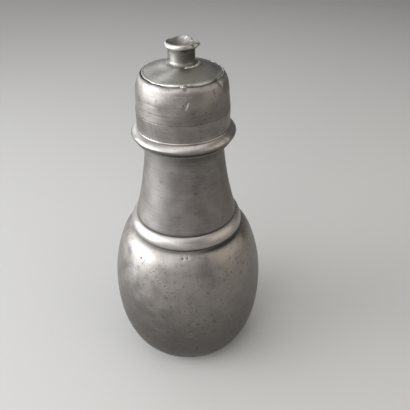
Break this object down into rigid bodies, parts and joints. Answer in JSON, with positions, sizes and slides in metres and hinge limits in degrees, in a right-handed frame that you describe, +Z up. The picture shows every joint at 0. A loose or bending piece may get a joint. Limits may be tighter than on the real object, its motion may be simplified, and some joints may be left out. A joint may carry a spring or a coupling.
{
  "type": "feeding bottle",
  "caption": "Turned pewter feeding bottle: egg-shaped body, flaring neck over a rounded bead, and a screw cap with a moulded collar and a flared drinking nozzle.",
  "frame": {"origin": "centre of the foot, on the surface that the bottle stands on", "axes": "+Z up along the bottle's axis, which is also the cap's; the bottle is round, so X and Y are free"},
  "size_m": [0.078, 0.078, 0.1688],
  "materials": {
    "worn_pewter": "worn pewter, satin, with fine pits and scratches",
    "rubbed_pewter": "pewter rubbed bright by handling",
    "dull_pewter": "dull pewter with fine turning lines",
    "bright_pewter": "bright pewter, polished by the thread",
    "pitted_pewter": "pewter with many small dark pits",
    "oiled_leather": "dark oiled leather"
  },
  "bodies": {
    "bottle": {"lower_bowl": "worn_pewter", "upper_bowl": "worn_pewter", "shoulder_bead": "rubbed_pewter", "neck": "dull_pewter", "threaded_mouth": "bright_pewter"},
    "seal": {"leather_washer": "oiled_leather"},
    "cap": {"cap_rim": "rubbed_pewter", "cap_skirt": "pitted_pewter", "cap_crown": "worn_pewter", "nozzle": "rubbed_pewter"}
  },
  "joints": [
    {"name": "cap_rise", "type": "slide", "parent": "bottle", "child": "seal", "axis": [0, 0, 1], "range_m": [0, 0.01401]},
    {"name": "cap_turn", "type": "hinge", "parent": "seal", "child": "cap", "pos_m": [0, 0, 0.1253], "axis": [0, 0, 1], "range_deg": [0, 1440]}
  ],
  "couplings": [
    {"joint": "cap_rise", "follows": "cap_turn", "m_per_rad": 0.00055704}
  ]
}
